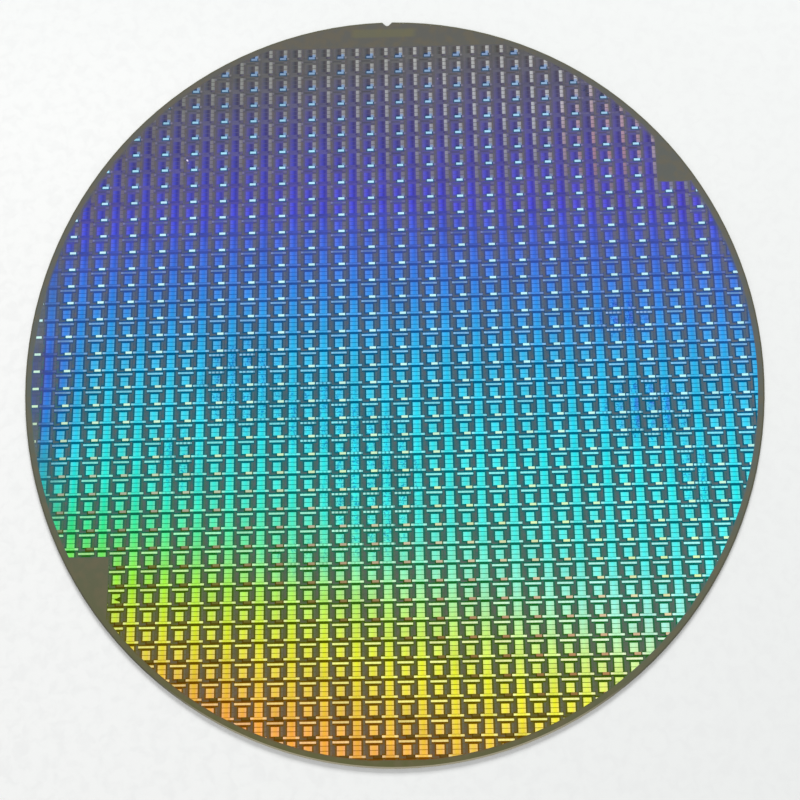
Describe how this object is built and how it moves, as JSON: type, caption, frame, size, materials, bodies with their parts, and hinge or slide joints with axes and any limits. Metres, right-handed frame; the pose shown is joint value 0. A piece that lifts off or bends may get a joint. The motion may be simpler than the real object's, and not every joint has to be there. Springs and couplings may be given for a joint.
{
  "type": "silicon wafer",
  "caption": "Thin round silicon wafer with a V notch at the rim, a bevelled edge and a patterned face of repeated circuit blocks.",
  "frame": {"origin": "middle of the back face, which the wafer rests on", "axes": "+Z out of the patterned face, +Y from the middle to the notch"},
  "size_m": [0.2, 0.2, 0.0007],
  "materials": {
    "silicon": "polished"
  },
  "bodies": {
    "root": {"wafer": "silicon"}
  },
  "joints": []
}
